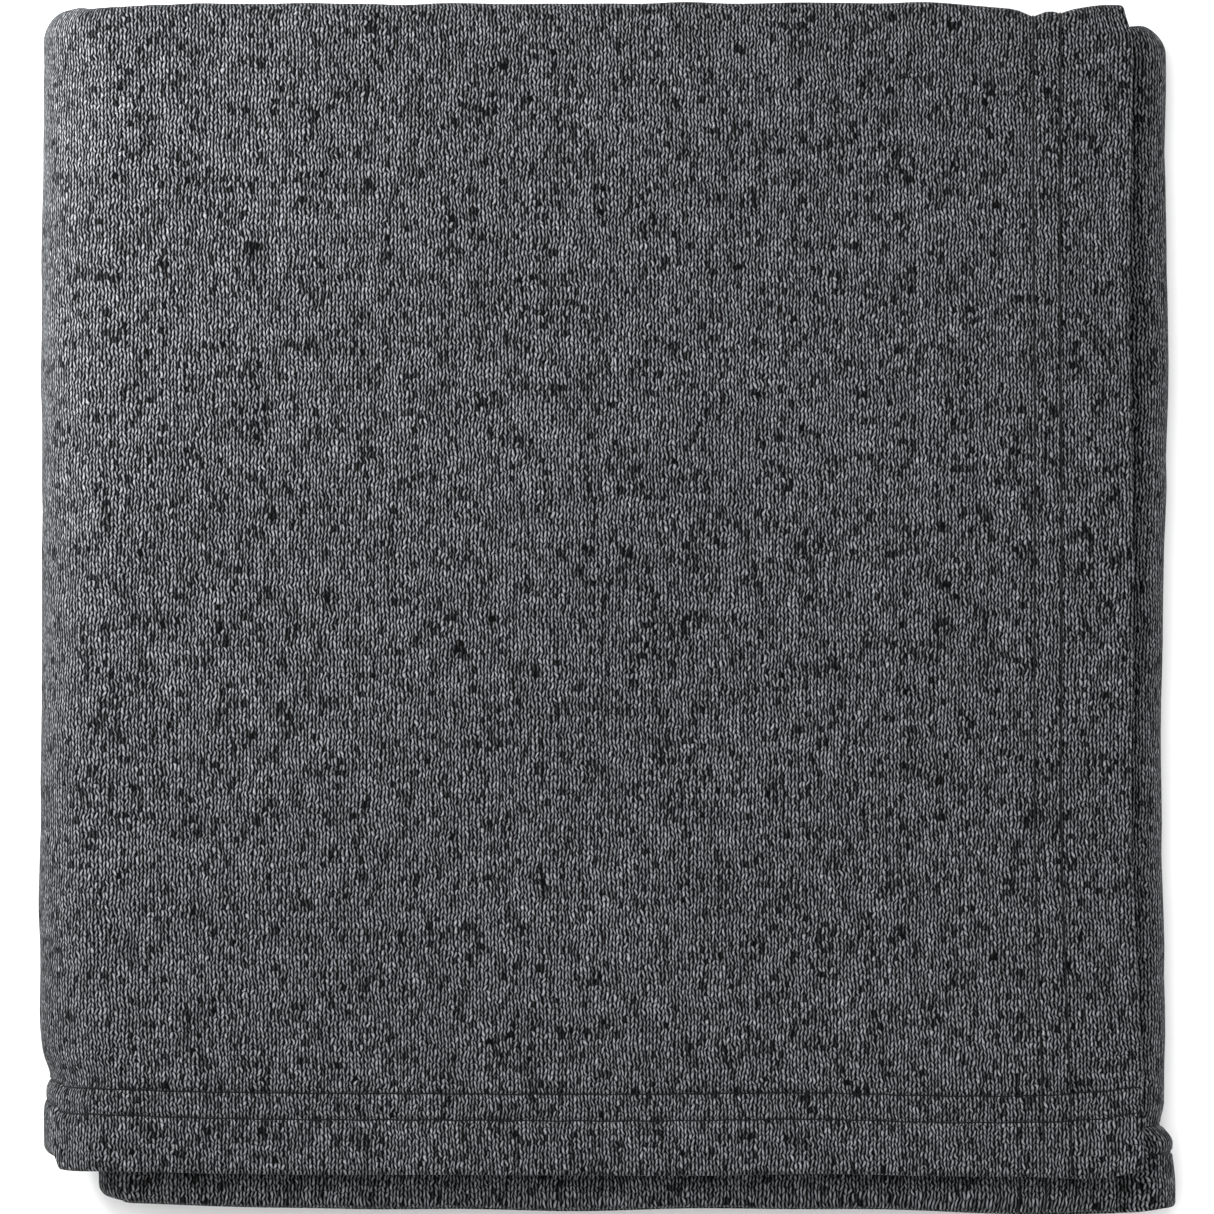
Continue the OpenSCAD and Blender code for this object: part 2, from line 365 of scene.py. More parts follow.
def inner_leaf_moves(x, y, z):
    """The right fold stands full, and is slack at the front, beyond the hem's needle rows."""
    upper = upper_half(z)
    fold = (1 - upper) * ease(x, 135, 158)
    near_row = BACK - SLIDE - LEAF + NEEDLE_ROWS[1]
    dx = fold * (
        -0.7 + 0.8 * bump(y, 75, 35) - 0.9 * bump(y, -40, 45) - 0.6 * bump(y, 22, 20)
        - 0.8 * bump(y, -88, 26) - 1.1 * bump(y, near_row + 1.5, 3.2)
        + 2.7 * ease(-y, -near_row - 1, -near_row + 6) + 0.5 * ease(-y, 163, 172)
        + 0.25 * ripple(y, 0, 31, 40)
    )
    below = 1 - ease(z, SECOND_Z - 1, SECOND_Z + 0.4)
    dy = fold * (3.8 - 2.4 * ease(x, 158, 167)) * at_back(y)
    dy += below * at_front(y) * (
        1.8 * ease(-x, 95, 145) + 1.7 * ease(-x, 139, 150) + 0.9 * bump(x, -80, 70)
        - 0.6 * bump(x, 122, 30) + 1.1 * ease(x, 152, 167) + 0.3 * ripple(x, 0, 41, 35)
    )
    dz = (1 - upper) * ease(x, 148, 160) * z * (0.11 + 0.03 * ripple(y, 0, 37, 50))
    dz -= upper * (1 - on_top_leaf(z)) * ease(x, SECOND_EDGE - 20, SECOND_EDGE) * 0.8
    return dx, dy, dz


def uneven_moves(x, y, z):
    """The whole pack is uneven, and more so towards its top, but not where the inner fold parts as it opens."""
    height = z / TOP_HIGH[2]
    calm = 1 - ease(-x, -INNER_X - 45, -INNER_X - 12) * bump(z, MIDDLE_Z, 6)
    swell = height * (0.75 * ripple(x, y, 5, 95) + 0.35 * ripple(x, y, 6, 42)) - 0.7 * height ** 2
    return 0.35 * ripple(y, z * 2, 9, 70), 0.3 * ripple(x, z * 2, 10, 60), calm * swell


def settle(points):
    """Moves points of the ideal pack to where the soft one has them."""
    ideal = [points[..., i] for i in range(3)]
    moves = [shape(*ideal) for shape in (outer_fold_moves, top_leaf_moves, inner_leaf_moves, uneven_moves)]
    x, y, z = (start + sum(move[i] for move in moves) for i, start in enumerate(ideal))
    z = np.maximum(z, 0.05 + 0.02 * np.minimum(ideal[2], 1))
    return np.stack([x, y, z], -1)


def hem_distance(s):
    """Distance from the nearer hem edge along the way through the leaf."""
    return np.minimum(s, LENGTH - s)


def face_relief(across, s, edge):
    """How far the face of the cloth stands proud: grooves at the needle rows, puckers beside them, soft unevenness."""
    along = hem_distance(s)
    out = 0.22 * ripple(across, s, 51, 16) + 0.12 * ripple(across, s, 52, 7)
    for row in NEEDLE_ROWS:
        off = along - row
        pucker = 1 + 0.35 * np.sin(across * 2 * math.pi / 6.5 + 2 * ripple(across, s, 53, 20))
        out = out - 0.8 * np.exp(-((off / 0.5) ** 2)) - 0.3 * pucker * np.exp(-((off / 2.6) ** 2))
    for row in SIDE_ROWS:
        off = edge - row
        out = out - 0.3 * np.exp(-((off / 0.5) ** 2)) - 0.25 * np.exp(-((off / 2.2) ** 2))
    return out


def back_relief(across, s, edge):
    """The same for the reverse, which has a slit where a hem's raw edge ends."""
    along = hem_distance(s)
    out = 0.1 * ripple(across, s, 54, 9)
    return out - 0.7 * np.exp(-(((along - HEM) / 0.4) ** 2)) - 0.7 * np.exp(-(((edge - SIDE_HEM) / 0.4) ** 2))


def thin(distance):
    """The share of its thickness that the cloth has at this distance from a turned edge."""
    t = np.clip(distance / (CLOTH / 2), 0, 1)
    return np.sqrt(1 - (1 - t) ** 2)


def relief(across, s, edge, side, ox, oz):
    """The relief of either side, calmed inside the pack where the inner fold parts."""
    inside = (oz > THIRD_Z - 0.05) & (oz < SECOND_Z + 0.05)
    calm = np.where(inside, ease(np.abs(ox - INNER_X), TAB, TAB + 10), 1.0)
    return calm * (face_relief(across, s, edge) if side > 0 else back_relief(across, s, edge))


def on_cloth(stations, s, side):
    """Points of the face (side 1) or the reverse (side -1) of the cloth, for stations by path lengths."""
    ox, oz, dx, dz, shift, across, edge = (stations[:, i, None] for i in range(7))
    s = np.asarray(s, float)[None, :]
    n, y, fn, fy = (v[None, :] for v in leaf_way(s[0]))
    thick = thin(hem_distance(s)) * thin(edge)
    out = side * (CLOTH / 2 + relief(across, s, edge, side, ox, oz)) * thick
    n, y = n + fn * out, y + fy * out
    flat = np.stack([ox + dx * n, BACK + shift + y, oz + dz * n], -1)
    return settle(flat)


# ---------------------------------------------------------------- meshes

def new_object(name, points, faces, materials, slots=None):
    """A smooth mesh object from points in millimetres; slots holds a material's index for each face."""
    mesh = bpy.data.meshes.new(name)
    mesh.from_pydata((points * MM).tolist(), [], faces)
    mesh.polygons.foreach_set("use_smooth", [True] * len(mesh.polygons))
    for material in materials:
        mesh.materials.append(material)
    if slots is not None:
        mesh.polygons.foreach_set("material_index", slots)
    obj = bpy.data.objects.new(name, mesh)
    scene.collection.objects.link(obj)
    return obj


def cloth(name, stations, s, materials):
    """A thick sheet of knit through the stations: face, reverse, and the cut ends where it goes on as another piece."""
    rows, cols = len(stations), len(s)
    face, back = on_cloth(stations, s, 1), on_cloth(stations, s, -1)
    shut_start, shut_end = s[0] < 1e-6, LENGTH - s[-1] < 1e-6
    shut_edge = stations[-1, 6] < 1e-6
    top = np.arange(rows * cols).reshape(rows, cols)
    under = top + rows * cols
    if shut_start:
        under[:, 0] = top[:, 0]
    if shut_end:
        under[:, -1] = top[:, -1]
    if shut_edge:
        under[-1] = top[-1]
    points = np.concatenate([face.reshape(-1, 3), back.reshape(-1, 3)])

    def grid(a, turned):
        quads = np.stack([a[:-1, :-1], a[1:, :-1], a[1:, 1:], a[:-1, 1:]], -1).reshape(-1, 4)
        return quads[:, ::-1] if turned else quads

    # The face looks along +n where the path runs back; stations in the other sense turn the mesh inside out.
    first, second = points[top[0, 1]] - points[top[0, 0]], points[top[1, 0]] - points[top[0, 0]]
    outward = points[top[0, 0]] - points[under[0, 1]]
    turned = np.dot(np.cross(second, first), outward) < 0
    parts = [(grid(top, turned), 0), (grid(under, not turned), 1)]
    caps = []
    if not shut_start:
        caps.append((top[:, 0], under[:, 0], turned))
    if not shut_end:
        caps.append((top[:, -1], under[:, -1], not turned))
    caps.append((top[0], under[0], not turned))
    if not shut_edge:
        caps.append((top[-1], under[-1], turned))
    for a, b, flip in caps:
        quads = np.stack([a[:-1], b[:-1], b[1:], a[1:]], -1)
        parts.append((quads[:, ::-1] if flip else quads, 1))
    faces, slots, capped = [], [], []
    for i, (quads, slot) in enumerate(parts):
        for q in quads.tolist():
            kept = [v for k, v in enumerate(q) if v != q[k - 1]]
            if len(set(kept)) >= 3:
                faces.append(kept)
                slots.append(slot)
                capped.append(i > 1)
    used = np.unique([v for f in faces for v in f])
    index = np.full(len(points), -1)
    index[used] = np.arange(len(used))
    faces = [[int(index[v]) for v in f] for f in faces]
    obj = new_object(name, points[used], faces, materials, slots)
    mesh = obj.data
    across = np.concatenate([np.repeat(stations[:, 5], cols)] * 2)[used] / WALE
    along = np.concatenate([np.tile(face_way(s), rows)] * 2)[used] / COURSE
    loops = np.zeros(len(mesh.loops), np.int32)
    mesh.loops.foreach_get("vertex_index", loops)
    uv = mesh.uv_layers.new(name="knit")
    uv.data.foreach_set("uv", np.stack([across[loops], along[loops]], -1).astype(np.float32).ravel())
    sharpen(mesh, capped)
    return obj


def sharpen(mesh, capped):
    """Marks the edges round the cut ends sharp, so that the cloth shades straight on into its neighbour."""
    loop_edges = np.zeros(len(mesh.loops), np.int32)
    mesh.loops.foreach_get("edge_index", loop_edges)
    owner = np.repeat(np.array(capped), [len(p.vertices) for p in mesh.polygons])
    cap_edges, cloth_edges = np.zeros(len(mesh.edges), bool), np.zeros(len(mesh.edges), bool)
    cap_edges[loop_edges[owner]] = True
    cloth_edges[loop_edges[~owner]] = True
    attribute = mesh.attributes.new("sharp_edge", "BOOLEAN", "EDGE")
    attribute.data.foreach_set("value", cap_edges & cloth_edges)


def tube(run, radius, sides):
    """Points and faces of a thin tube with closed ends. A run is its centres and the cloth's normals at them."""
    centres, up = run
    way = np.gradient(centres, axis=0)
    way /= np.linalg.norm(way, axis=1)[:, None] + 1e-12
    first = np.cross(way, up)
    first /= np.linalg.norm(first, axis=1)[:, None] + 1e-12
    second = np.cross(way, first)
    turn = np.arange(sides) * 2 * math.pi / sides
    ring = first[:, None] * np.cos(turn)[None, :, None] + second[:, None] * np.sin(turn)[None, :, None]
    points = (centres[:, None] + radius * ring).reshape(-1, 3)
    faces = []
    for i in range(len(centres) - 1):
        for k in range(sides):
            a, b = i * sides + k, i * sides + (k + 1) % sides
            faces.append([a, b, b + sides, a + sides])
    last = (len(centres) - 1) * sides
    faces.append(list(range(sides))[::-1])
    faces.append([last + k for k in range(sides)])
    return points, faces


def tubes(name, runs, radius, material, sides):
    """One object of many thin tubes."""
    points, faces = [], []
    for run in runs:
        p, f = tube(run, radius, sides)
        base = sum(len(q) for q in points)
        points.append(p)
        faces += [[v + base for v in face] for face in f]
    return new_object(name, np.concatenate(points), faces, [material])


def along_stations(stations, step):
    """Stations at even steps across the knit."""
    across = stations[:, 5]
    order = 1 if across[-1] > across[0] else -1
    count = max(2, int(abs(across[-1] - across[0]) / step) + 1)
    wanted = np.linspace(across[0], across[-1], count)
    columns = [np.interp(wanted * order, across * order, stations[:, i]) for i in range(7)]
    return np.stack(columns, -1)


def needle_runs(stations):
    """The needle threads of the end hems over a run of stations: long stitches on the face, sunk at their holes."""
    fine = along_stations(stations, STITCH / 5)
    fine = fine[fine[:, 6] > 0.4]
    beat = np.abs(np.sin(math.pi * fine[:, 5] / STITCH))
    wobble = 0.12 * np.sin(fine[:, 5] / 2.3)
    lift = -0.06 + 0.2 * beat ** 0.6
    return [thread_points(fine, abs(end - row) + wobble, 1, lift) for end in (0, LENGTH) for row in NEEDLE_ROWS]


def looper_runs(stations):
    """The looper thread on the reverse of an end hem, zigzagging between the needle rows."""
    fine = along_stations(stations, STITCH / 2)
    fine = fine[fine[:, 6] > 0.4]
    runs = []
    for end in (0, LENGTH):
        for phase in (0, 1):
            swing = (np.arange(len(fine)) + phase) % 2
            along = NEEDLE_ROWS[0] + (NEEDLE_ROWS[1] - NEEDLE_ROWS[0]) * swing
            runs.append(thread_points(fine, np.abs(end - along), -1, 0.0))
    return runs


def thread_points(stations, s, side, lift):
    """Points on the cloth, one for each station, its own path length and its own lift."""
    ox, oz, dx, dz, shift, across, edge = (stations[:, i] for i in range(7))
    n, y, fn, fy = leaf_way(s)
    out = side * (CLOTH / 2 + relief(across, s, edge, side, ox, oz) + lift)
    n, y = n + fn * out, y + fy * out
    return settle(np.stack([ox + dx * n, BACK + shift + y, oz + dz * n], -1)), np.stack([dx * fn, fy, dz * fn], -1)


def side_runs(stations, reverse=False):
    """The needle or looper threads of a side hem, along the whole way through the leaf."""
    s = np.array(steps(EDGE_ROOM, LENGTH - EDGE_ROOM, STITCH / (2 if reverse else 4)))
    lift = 0.0 if reverse else -0.42 + 0.2 * np.abs(np.sin(math.pi * s / STITCH))
    runs = []
    for k, row in enumerate(SIDE_ROWS):
        swing = (np.arange(len(s)) + k) % 2
        depth = SIDE_ROWS[0] + (SIDE_ROWS[1] - SIDE_ROWS[0]) * swing if reverse else row
        place = np.repeat(stations[-1][None, :], len(s), 0)
        place[:, 0] -= depth
        place[:, 5] -= depth
        runs.append(thread_points(place, s, -1 if reverse else 1, lift))
    return runs


# ---------------------------------------------------------------- node helpers

class Graph:
    """Short ways to build a material's nodes."""

    def __init__(self, name):
        self.material = bpy.data.materials.new(name)
        self.material.use_nodes = True
        self.tree = self.material.node_tree
        self.tree.nodes.clear()
        self.out = self.add("ShaderNodeOutputMaterial")
        self.shader = self.add("ShaderNodeBsdfPrincipled")
        self.tree.links.new(self.shader.outputs["BSDF"], self.out.inputs["Surface"])

    def add(self, kind, **settings):
        node = self.tree.nodes.new(kind)
        for key, value in settings.items():
            setattr(node, key, value)
        return node

    def put(self, socket, value):
        if hasattr(value, "is_output"):
            self.tree.links.new(value, socket)
        else:
            socket.default_value = value

    def math(self, operation, *values, clamp=False):
        node = self.add("ShaderNodeMath", operation=operation, use_clamp=clamp)
        for socket, value in zip(node.inputs, values):
            self.put(socket, value)
        return node.outputs[0]

    def vector(self, x=0.0, y=0.0, z=0.0):
        node = self.add("ShaderNodeCombineXYZ")
        for socket, value in zip(node.inputs, (x, y, z)):
            self.put(socket, value)
        return node.outputs[0]

    def uv(self, layer):
        node = self.add("ShaderNodeUVMap", uv_map=layer)
        split = self.add("ShaderNodeSeparateXYZ")
        self.put(split.inputs[0], node.outputs[0])
        return split.outputs[0], split.outputs[1]

    def noise(self, vector, scale, detail=2.0, roughness=0.5):
        node = self.add("ShaderNodeTexNoise", noise_dimensions="3D")
        self.put(node.inputs["Vector"], vector)
        node.inputs["Scale"].default_value = scale
        node.inputs["Detail"].default_value = detail
        node.inputs["Roughness"].default_value = roughness
        return node.outputs["Fac"]

    def chance(self, vector):
        node = self.add("ShaderNodeTexWhiteNoise", noise_dimensions="3D")
        self.put(node.inputs["Vector"], vector)
        return node.outputs["Value"]

    def ramp(self, factor, stops):
        node = self.add("ShaderNodeValToRGB")
        elements = node.color_ramp.elements
        while len(elements) < len(stops):
            elements.new(0.5)
        for element, (at, colour) in zip(elements, stops):
            element.position, element.color = at, (*colour, 1)
        self.put(node.inputs["Fac"], factor)
        return node.outputs["Color"]

    def choose(self, kind, factor, a, b, **settings):
        """A mix of two numbers ("FLOAT") or two colours ("RGBA"). The node has a set of sockets for each kind."""
        node = self.add("ShaderNodeMix", data_type=kind, **settings)
        first, out = {"FLOAT": (2, 0), "RGBA": (6, 2)}[kind]
        for socket, value in zip((node.inputs[0], node.inputs[first], node.inputs[first + 1]), (factor, a, b)):
            self.put(socket, value)
        return node.outputs[out]

    def mix(self, factor, a, b, blend="MIX"):
        return self.choose("RGBA", factor, a, b, blend_type=blend)

    def bump(self, height, distance, strength):
        node = self.add("ShaderNodeBump")
        node.inputs["Strength"].default_value = strength
        node.inputs["Distance"].default_value = distance
        self.put(node.inputs["Height"], height)
        return node.outputs["Normal"]

    def finish(self, colour, normal, roughness, specular=None, sheen=()):
        """Puts the looks on the shader. Specular and the sheen's weight, roughness and tint are plain values."""
        self.put(self.shader.inputs["Base Color"], colour)
        if normal is not None:
            self.put(self.shader.inputs["Normal"], normal)
        self.put(self.shader.inputs["Roughness"], roughness)
        if specular is not None:
            self.shader.inputs["Specular IOR Level"].default_value = specular
        for part, value in zip(("Weight", "Roughness", "Tint"), sheen):
            self.shader.inputs[f"Sheen {part}"].default_value = value
        return self.material


def grey(value):
    """A charcoal grey, a little blue."""
    return (value * 0.965, value, value * 1.045)


def leg_of_stitch(g, u, stitch, lean, below):
    """Height and tone of the leg that stands in this row, or of the one below, whose top shows between."""
    wale, row, up, off, side = stitch
    level = g.math("ADD", up, float(below))
    of_row = g.math("SUBTRACT", row, float(below))
    chance = g.chance(g.vector(g.math("ADD", g.math("MULTIPLY", wale, 2.0), side), of_row, 2.0))
    shared = g.chance(g.vector(wale, of_row, 4.0))

    # The leg leans outwards as it rises, is round across and tapers towards its ends.
    middle = g.math("ADD", 0.28, g.math("MULTIPLY", shared, 0.06))
    middle = g.math("SUBTRACT", middle, g.math("MULTIPLY", level, 0.12))
    width = g.math("ADD", 0.130, g.math("MULTIPLY", chance, 0.04))
    away = g.math("DIVIDE", g.math("SUBTRACT", off, middle), width)
    body = g.math("SQRT", g.math("SUBTRACT", 1.0, g.math("MULTIPLY", away, away), clamp=True))
    ends = g.math("MULTIPLY", level, g.math("SUBTRACT", 1.1, level))
    ends = g.math("POWER", g.math("MULTIPLY", ends, 3.3, clamp=True), 0.45)

    # Its tone is part chance and part the yarn, which runs on from stitch to stitch along the row.
    yarn = g.noise(g.vector(g.math("MULTIPLY", u, 1.5), g.math("MULTIPLY", of_row, 1.37), 0.5), 1.0, 2, 0.6)
    tone = g.math("ADD", g.math("MULTIPLY", chance, 0.40), g.math("MULTIPLY", shared, 0.10))
    tone = g.math("ADD", tone, g.math("MULTIPLY", yarn, 0.50))
    return g.math("MULTIPLY", body, ends), g.math("ADD", tone, lean)


def knit_material():
    """Stocking stitch in a heathered charcoal yarn. One unit of its map is one wale by one course."""
    g = Graph("heather_knit")
    across, along = g.uv("knit")
    place = g.vector(across, along)

    # The wales and courses wander a little.
    drift = g.noise(place, 0.21, 2)
    drift_2 = g.noise(g.vector(across, along, 7.0), 0.45, 1)
    jitter = g.noise(g.vector(across, along, 3.0), 1.1, 1)
    u = g.math("ADD", across, g.math("SUBTRACT", drift, 0.5))
    u = g.math("ADD", u, g.math("MULTIPLY", g.math("SUBTRACT", jitter, 0.5), 0.50))
    v = g.math("ADD", along, g.math("MULTIPLY", g.math("SUBTRACT", drift_2, 0.5), 1.3))

    # Each wale has two legs, and its rows are V-shaped and start anywhere.
    wale = g.math("FLOOR", u)
    x = g.math("SUBTRACT", g.math("FRACT", u), 0.5)
    off = g.math("ABSOLUTE", x)
    side = g.math("GREATER_THAN", x, 0.0)
    v = g.math("ADD", v, g.math("MULTIPLY", g.chance(g.vector(wale, 5.0, 1.0)), 0.8))
    slope = g.math("ADD", v, g.math("MULTIPLY", off, 0.3))
    stitch = wale, g.math("FLOOR", slope), g.math("FRACT", slope), off, side
    patches = g.noise(g.vector(across, along, 11.0), 0.26, 3, 0.65)
    lean = g.math("MULTIPLY", g.math("SUBTRACT", patches, 0.5), 0.45)
    height, tone = leg_of_stitch(g, u, stitch, lean, 0)
    height_below, tone_below = leg_of_stitch(g, u, stitch, lean, 1)
    lower = g.math("GREATER_THAN", height_below, height)
    height = g.math("MAXIMUM", height, height_below)
    tone = g.math("SUBTRACT", g.choose("FLOAT", lower, tone, tone_below), 0.015)
    fibres = g.noise(g.vector(g.math("MULTIPLY", u, 9.0), g.math("MULTIPLY", v, 3.0), tone), 1.0, 2, 0.6)

    # The yarn is spun of light and dark fibre, so some stitches are nearly black.
    colour = g.ramp(tone, [
        (0.0, grey(0.002)), (0.17, grey(0.005)), (0.27, grey(0.06)), (0.37, grey(0.24)),
        (0.60, grey(0.37)), (0.78, grey(0.52)), (1.0, grey(0.74)),
    ])
    colour = g.mix(g.math("MULTIPLY", fibres, 0.8), colour, g.mix(1.0, colour, (0.40, 0.40, 0.41, 1), "MULTIPLY"))
    # Painted shade: the colour darkens to nearly black where the legs are low, in the gaps between the legs and between
    # the rows.
    colour = g.mix(g.math("POWER", height, 1.7), (0.0008, 0.0009, 0.001, 1), colour)
    broad = g.math("ADD", 0.57, g.math("MULTIPLY", g.noise(place, 0.035, 2), 0.20))
    lit = g.add("ShaderNodeVectorMath", operation="SCALE")
    g.put(lit.inputs[0], colour)
    g.put(lit.inputs["Scale"], broad)

    relief = g.math("ADD", height, g.math("MULTIPLY", fibres, 0.22))
    rough = g.math("ADD", 0.8, g.math("MULTIPLY", fibres, 0.18))
    return g.finish(lit.outputs[0], g.bump(relief, 0.0006, 0.8), rough, 0.05, sheen=(0.06, 0.25, (0.75, 0.80, 0.86, 1)))


def fleece_material():
    """The brushed reverse of the knit: short matted fibre."""
    g = Graph("brushed_reverse")
    across, along = g.uv("knit")
    tufts = g.noise(g.vector(across, along), 0.9, 4, 0.7)
    hairs = g.noise(g.vector(g.math("MULTIPLY", across, 5.0), g.math("MULTIPLY", along, 2.0)), 1.0, 3, 0.7)
    tone = g.math("ADD", g.math("MULTIPLY", tufts, 0.7), g.math("MULTIPLY", hairs, 0.3))
    colour = g.ramp(tone, [(0.25, grey(0.012)), (0.45, grey(0.05)), (0.6, grey(0.10)), (0.8, grey(0.17))])
    rough = g.math("ADD", 0.85, g.math("MULTIPLY", hairs, 0.12))
    return g.finish(colour, g.bump(tone, 0.0009, 0.8), rough, 0.15, sheen=(0.3, 0.5))


def thread_material(name, value):
    """Twisted sewing thread, of about this grey."""
    g = Graph(name)
    spot = g.add("ShaderNodeTexCoord").outputs["Object"]
    twist = g.add("ShaderNodeTexWave", wave_type="BANDS", bands_direction="DIAGONAL")
    g.put(twist.inputs["Vector"], spot)
    twist.inputs["Scale"].default_value = 900.0
    twist.inputs["Distortion"].default_value = 1.5
    fluff = g.noise(spot, 2600.0, 2)
    tone = g.math("ADD", g.math("MULTIPLY", twist.outputs["Fac"], 0.6), g.math("MULTIPLY", fluff, 0.4))
    colour = g.ramp(tone, [(0.1, grey(value * 0.35)), (0.55, grey(value)), (0.95, grey(value * 2.2))])
    rough = g.math("ADD", 0.5, g.math("MULTIPLY", fluff, 0.2))
    return g.finish(colour, g.bump(tone, 0.00012, 0.7), rough, 0.1, sheen=(0.02,))


def label_material():
    """Blank woven satin."""
    g = Graph("woven_label")
    across, along = g.uv("weave")
    warp = g.math("ABSOLUTE", g.math("SINE", g.math("MULTIPLY", across, math.pi)))
    weft = g.math("ABSOLUTE", g.math("SINE", g.math("MULTIPLY", along, math.pi)))
    weave = g.math("ADD", g.math("MULTIPLY", warp, 0.65), g.math("MULTIPLY", weft, 0.35))
    soil = g.noise(g.vector(across, along), 0.05, 3)
    tone = g.math("ADD", g.math("MULTIPLY", weave, 0.5), g.math("MULTIPLY", soil, 0.5))
    colour = g.ramp(tone, [(0.1, (0.48, 0.47, 0.44)), (0.5, (0.68, 0.67, 0.64)), (0.9, (0.80, 0.79, 0.76))])
    rough = g.math("ADD", 0.42, g.math("MULTIPLY", soil, 0.2))
    return g.finish(colour, g.bump(weave, 0.0001, 0.6), rough, sheen=(0.15,))


def floor_material():
    """A pale, very slightly mottled floor."""
    g = Graph("pale_floor")
    mottle = g.noise(g.add("ShaderNodeTexCoord").outputs["Object"], 3.0, 3)
    return g.finish(g.ramp(mottle, [(0.2, (0.93, 0.93, 0.93)), (0.8, (0.95, 0.95, 0.95))]), None, 0.9, 0.1)


# ---------------------------------------------------------------- camera, floor and light

# The camera looks straight down from far off. Its frame is VIEW_M wide at the middle of the pack's height.
VIEW_M, DISTANCE = 0.3576, 8.0
AIM_X, AIM_Y = 0.0008, -0.0002
SENSOR = 36
FLOOR_REACH = 6
AMBIENT = 0.66

camera = bpy.data.objects.new("camera", bpy.data.cameras.new("camera"))
scene.collection.objects.link(camera)
scene.camera = camera
camera.data.sensor_width = SENSOR
camera.data.lens = SENSOR * (DISTANCE - MIDDLE_Z * MM) / VIEW_M
camera.data.clip_end = 60
camera.location = (AIM_X, AIM_Y, DISTANCE)

floor_mesh = bpy.data.meshes.new("floor")
square = [(-1, -1), (1, -1), (1, 1), (-1, 1)]
floor_mesh.from_pydata([(x * FLOOR_REACH, y * FLOOR_REACH, 0) for x, y in square], [], [(0, 1, 2, 3)])
floor_mesh.materials.append(floor_material())
floor = bpy.data.objects.new("floor", floor_mesh)
scene.collection.objects.link(floor)

world = bpy.data.worlds.new("studio")
world.use_nodes = True
world.node_tree.nodes["Background"].inputs["Color"].default_value = (1, 1, 1, 1)
world.node_tree.nodes["Background"].inputs["Strength"].default_value = AMBIENT
scene.world = world


def area_light(name, place, aim, size, power):
    """A round lamp at a place, turned to its aim, and not seen itself."""
    light = bpy.data.lights.new(name, "AREA")
    light.shape, light.size, light.energy = "DISK", size, power
    obj = bpy.data.objects.new(name, light)
    scene.collection.objects.link(obj)
    direction = np.array(aim, float) - np.array(place, float)
    obj.location = place
    obj.rotation_euler = Vector(direction).to_track_quat("-Z", "Y").to_euler()
    obj.visible_camera = False


area_light("key", (-0.36, 0.20, 0.24), aim=(-0.10, 0.08, 0.03), size=0.20, power=3.3)
area_light("overhead", (-0.22, 0.34, 2.1), aim=(0, 0, 0), size=1.7, power=49.0)
area_light("fill", (0.9, -0.10, 0.5), aim=(0.05, -0.05, 0.03), size=0.5, power=2.0)

# ---------------------------------------------------------------- the cloth

KNIT = [knit_material(), fleece_material()]
NEEDLE = thread_material("needle_thread", 0.004)
LOOPER = thread_material("looper_thread", 0.020)
LABEL = label_material()

# The top leaf's cover is its outermost ply with the fold behind it. The inner fold is cut where its plies turn back.
COVER_END = STOPS[2]
CUTS = [0, (STOPS[1] + STOPS[2]) / 2, (STOPS[5] + STOPS[6]) / 2, LENGTH]


def follow_top(obj):
    """The upper half of the outer fold belongs with the top leaf; this only bakes a piece's transform into its mesh."""
    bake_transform(obj)


def follow_bottom(obj):
    """The lower half of the outer fold belongs with the bottom leaf; this only bakes a piece's transform into its mesh.
    """
    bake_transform(obj)


def follow_inner(obj):
    """The inner fold parts across its middle, between the third and the second leaf, when the pack opens; this only
    bakes a piece's transform into its mesh.
    """
    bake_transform(obj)


top_run = joined(outer_stations(90, 180, 23), top_stations(FINE))
top_coarse = joined(outer_stations(90, 180, 13), top_stations(6.5))
bottom_run = joined(bottom_stations(7.0), outer_stations(0, 90, 19))
third_run = joined(third_stations(6.0), right_stations(25))
second_run = np.array(second_stations(4.2))
inner_run = np.array(inner_stations(33))

cover_s = way_samples(0, COVER_END, (FINE, COARSE, COARSE, COARSE))
under_s = way_samples(COVER_END, LENGTH, (COARSE,) * 4)
whole_s = way_samples(0, LENGTH, (COARSE,) * 4)

top_cover = cloth("cloth_top_cover", top_run, cover_s, KNIT)
top_under = cloth("cloth_top_under", top_coarse, under_s, KNIT)
second = cloth("cloth_second_leaf", second_run, whole_s, KNIT)
third = cloth("cloth_third_leaf", third_run, whole_s, KNIT)
bottom = cloth("cloth_bottom_leaf", bottom_run, whole_s, KNIT)
follow_top(top_cover)
follow_top(top_under)
follow_bottom(bottom)
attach(second, "second_leaf")
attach(third, "lower_half")

# The inner fold's pieces, from the tightest: how far above and below the middle each parts when the pack opens, and how
# far the middle of its plies lies inside INNER_R.
REACHES = [INNER_R - STACK, INNER_R - STACK / 2, INNER_R - 3 * CLOTH - 2 * (PITCH - CLOTH)]
inner = []
for k, reach in enumerate(REACHES):
    s = way_samples(CUTS[k], CUTS[k + 1], (COARSE,) * 4)
    obj = cloth(f"cloth_inner_fold_{k + 1}", inner_run, s, KNIT)
    follow_inner(obj)
    inner.append((obj, s))

# ---------------------------------------------------------------- threads

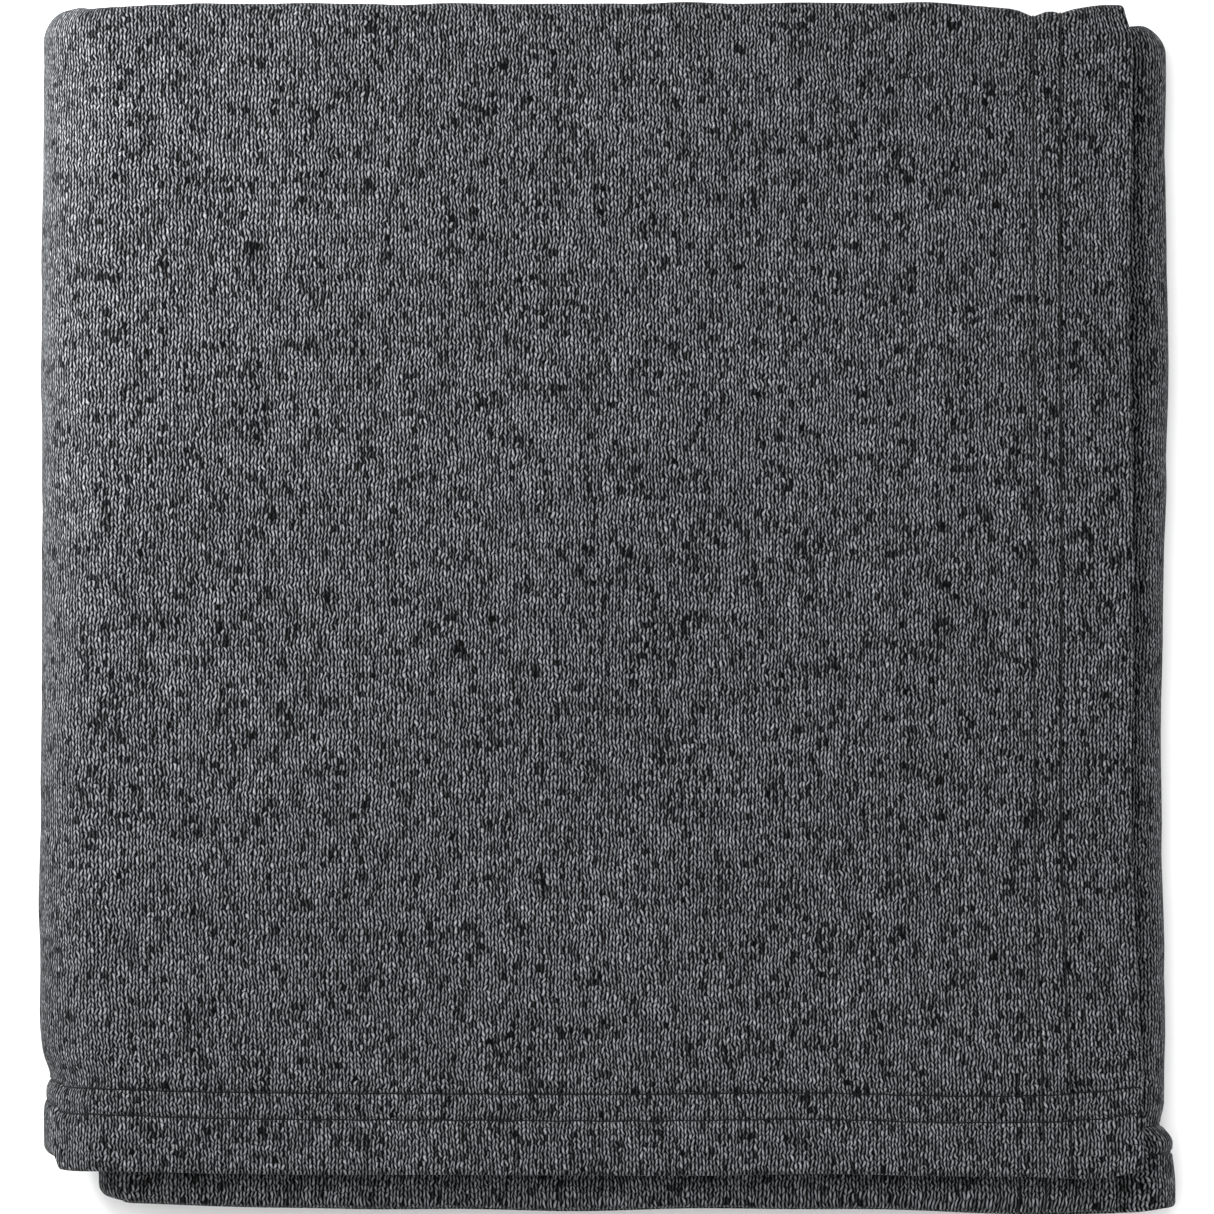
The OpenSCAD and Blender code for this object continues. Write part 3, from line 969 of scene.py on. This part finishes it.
thread_stretches = {
    "top_leaf": top_run,
    "outer_fold": np.array(outer_stations(0, 90, 19)),
    "lower_half": joined(third_stations(6.0), right_stations(25), bottom_stations(7.0)),
    "inner_fold": inner_run,
    "second_leaf": second_run,
}
threads = {}
for group, run in thread_stretches.items():
    needle, looper = needle_runs(run), looper_runs(run)
    if group in ("top_leaf", "second_leaf"):
        needle += side_runs(run)
        looper += side_runs(run, reverse=True)
    threads[group] = (
        tubes(f"needle_threads_{group}", needle, NEEDLE_THREAD_R, NEEDLE, sides=6),
        tubes(f"looper_threads_{group}", looper, LOOPER_THREAD_R, LOOPER, sides=4),
    )
for group, (needle, looper) in threads.items():
    for obj in (needle, looper):
        if group == "top_leaf":
            follow_top(obj)
        elif group == "outer_fold":
            follow_bottom(obj)
        elif group == "inner_fold":
            follow_inner(obj)
        else:
            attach(obj, group)

# ---------------------------------------------------------------- the care label, sewn in at the under hem

def slab_faces(rows, cols):
    """Faces of a thin slab: an upper grid of points, the lower one after it, and the rim between them."""
    upper = np.arange(rows * cols).reshape(rows, cols)
    lower = upper + rows * cols

    def cells(a):
        return np.stack([a[:-1, :-1], a[1:, :-1], a[1:, 1:], a[:-1, 1:]], -1).reshape(-1, 4)

    rim = np.concatenate([upper[0, :], upper[1:, -1], upper[-1, -2::-1], upper[-2:0:-1, 0]])
    after = np.roll(rim, -1)
    sides = np.stack([after, rim, rim + rows * cols, after + rows * cols], -1)
    return np.concatenate([cells(upper)[:, ::-1], cells(lower), sides]).tolist()


def care_label():
    """A blank, slightly wavy label that lies against the second leaf's under hem."""
    far = SECOND_EDGE - SIDE_HEM - 8
    x, y = np.meshgrid(np.linspace(far - LABEL_WIDTH, far, 16), np.linspace(0, LABEL_LENGTH, 22), indexing="ij")
    n = 2 * PITCH + CLOTH + 0.02 + 0.05 * np.sin(x / 6) * np.sin(y / 9)
    sides = [np.stack([x, BACK - SLIDE - LEAF + HEM + y, SECOND_Z - n + lift], -1) for lift in (0, LABEL_THICK)]
    points = np.concatenate(sides).reshape(-1, 3)
    obj = new_object("care_label_blank", settle(points), slab_faces(*x.shape), [LABEL])

    # Four threads of the weave to a cell of the grid.
    i, j = np.meshgrid(np.arange(x.shape[0]), np.arange(x.shape[1]), indexing="ij")
    grid_uv = np.tile(np.stack([i, j], -1).reshape(-1, 2) * 4.0, (2, 1))
    loops = np.zeros(len(obj.data.loops), np.int32)
    obj.data.loops.foreach_get("vertex_index", loops)
    weave = obj.data.uv_layers.new(name="weave")
    weave.data.foreach_set("uv", grid_uv[loops].astype(np.float32).ravel())
    return obj


label = care_label()
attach(label, "second_leaf")

# ---------------------------------------------------------------- hiding the imported parts that the new pieces stand in for

for k, (obj, s) in enumerate(inner):
    run = (s[-1] - s[0]) * MM

hems = {group: [f"{u}_end_hem_{group}" for u in ("upper", "under")] for group in thread_stretches}
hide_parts("top_leaf", "top_side_hem", *hems["top_leaf"], "outer_left_fold", *hems["outer_fold"])
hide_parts("second_leaf", "second_side_hem", *hems["second_leaf"])
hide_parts("third_leaf", "right_fold")
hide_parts("bottom_leaf", *hems["lower_half"])
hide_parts("inner_left_fold", *hems["inner_fold"])
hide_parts("care_label")
for group, (needle, looper) in threads.items():
    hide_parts(*[f"{u}_hem_needle_threads_{group}" for u in ("upper", "under")])
    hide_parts(*[f"{u}_hem_looper_thread_{group}" for u in ("upper", "under")])
for leaf in ("top", "second"):
    needle, looper = threads[f"{leaf}_leaf"]
    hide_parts(f"{leaf}_side_hem_needle_threads")
    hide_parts(f"{leaf}_side_hem_looper_thread")
